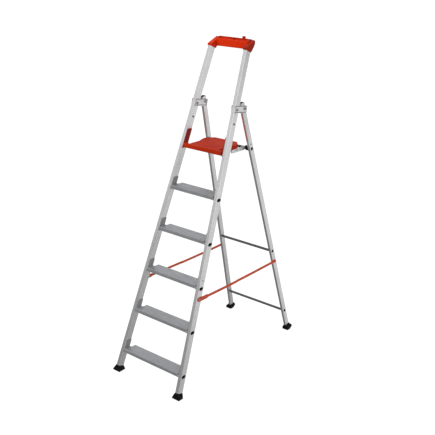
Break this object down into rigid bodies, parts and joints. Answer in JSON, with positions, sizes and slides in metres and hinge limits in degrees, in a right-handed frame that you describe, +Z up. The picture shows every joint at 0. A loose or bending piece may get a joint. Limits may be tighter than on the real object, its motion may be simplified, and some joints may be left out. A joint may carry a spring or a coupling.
{
  "type": "step ladder",
  "caption": "Folding aluminium step ladder with grooved treads, a folding platform, a bow with a tool tray, webbing straps and a rear frame that swings in.",
  "frame": {"origin": "on the floor, at the middle of the ladder's box", "axes": "+X across the width towards the climber's right, the climber stands on the -Y side and faces +Y, +Z up"},
  "size_m": [0.524, 1.102, 1.887],
  "materials": {
    "aluminium": "satin, extruded",
    "tread_aluminium": "matt, grooved",
    "dark_plastic": "moulded",
    "black_plastic": "moulded",
    "shoe_rubber": "matt",
    "orange_plastic": "moulded, fine grain",
    "webbing": "woven polyester",
    "zinc_steel": "zinc plated",
    "fastener_steel": "plated",
    "grey_tube": "satin"
  },
  "bodies": {
    "front_frame": {"stile_left": "aluminium", "stile_right": "aluminium", "tread_1": "tread_aluminium", "tread_2": "tread_aluminium", "tread_3": "tread_aluminium", "tread_4": "tread_aluminium", "tread_5": "tread_aluminium", "tread_brackets_left": "dark_plastic", "tread_brackets_right": "dark_plastic", "tread_plugs": "black_plastic", "stile_rivets": "fastener_steel", "front_shoe_left": "shoe_rubber", "front_shoe_right": "shoe_rubber", "front_shoe_rivets": "fastener_steel", "bow": "orange_plastic", "bow_screws": "fastener_steel", "hinge_plate_outer_left": "zinc_steel", "hinge_plate_outer_right": "zinc_steel", "hinge_plate_inner_left": "zinc_steel", "hinge_plate_inner_right": "zinc_steel", "plate_bolts": "fastener_steel", "stile_bolts": "fastener_steel", "pivot_bolts": "fastener_steel", "platform_bracket_left": "orange_plastic", "platform_bracket_right": "orange_plastic", "platform_pins": "fastener_steel", "strap_rivets": "fastener_steel"},
    "rear_frame": {"rear_leg_left": "aluminium", "rear_leg_right": "aluminium", "leg_caps": "black_plastic", "pivot_bushes": "black_plastic", "upper_crossbar": "grey_tube", "lower_crossbar": "grey_tube", "rest_tube": "grey_tube", "rest_tube_collars": "black_plastic", "crossbar_plugs": "black_plastic", "rest_tube_plugs": "black_plastic", "leg_rivets": "fastener_steel", "rear_shoe_left": "shoe_rubber", "rear_shoe_right": "shoe_rubber"},
    "platform": {"platform_deck": "orange_plastic", "platform_arm_left": "zinc_steel", "platform_arm_right": "zinc_steel", "arm_rivets": "fastener_steel"},
    "strap_front_left": {"strap_front_left": "webbing"},
    "strap_front_right": {"strap_front_right": "webbing"},
    "strap_rear_left": {"strap_rear_left": "webbing", "strap_button_left": "orange_plastic"},
    "strap_rear_right": {"strap_rear_right": "webbing", "strap_button_right": "orange_plastic"}
  },
  "joints": [
    {"name": "rear_fold", "type": "hinge", "parent": "front_frame", "child": "rear_frame", "pos_m": [0, 0.14257, 1.51091], "axis": [1, 0, 0], "range_deg": [-36.2, 0]},
    {"name": "platform_fold", "type": "hinge", "parent": "front_frame", "child": "platform", "pos_m": [0, -0.02, 1.285], "axis": [1, 0, 0], "range_deg": [0, 68.25]},
    {"name": "strap_front_left_fold", "type": "hinge", "parent": "front_frame", "child": "strap_front_left", "pos_m": [-0.21682, -0.32192, 0.52274], "axis": [0.9985, -0.0069, -0.055], "range_deg": [-104, 0]},
    {"name": "strap_rear_left_fold", "type": "hinge", "parent": "strap_front_left", "child": "strap_rear_left", "pos_m": [-0.21478, 0.01104, 0.51779], "axis": [0.9985, -0.0069, -0.055], "range_deg": [0, 170]},
    {"name": "strap_front_right_fold", "type": "hinge", "parent": "front_frame", "child": "strap_front_right", "pos_m": [0.21682, -0.32192, 0.52274], "axis": [0.9985, 0.0069, 0.055], "range_deg": [-104, 0]},
    {"name": "strap_rear_right_fold", "type": "hinge", "parent": "strap_front_right", "child": "strap_rear_right", "pos_m": [0.21478, 0.01104, 0.51779], "axis": [0.9985, 0.0069, 0.055], "range_deg": [0, 170]}
  ],
  "couplings": [
    {"joint": "platform_fold", "follows": "rear_fold", "ratio": -1.884},
    {"joint": "strap_front_left_fold", "follows": "rear_fold", "ratio": 2.8555},
    {"joint": "strap_rear_left_fold", "follows": "rear_fold", "ratio": -4.6756},
    {"joint": "strap_front_right_fold", "follows": "rear_fold", "ratio": 2.8555},
    {"joint": "strap_rear_right_fold", "follows": "rear_fold", "ratio": -4.6756}
  ]
}
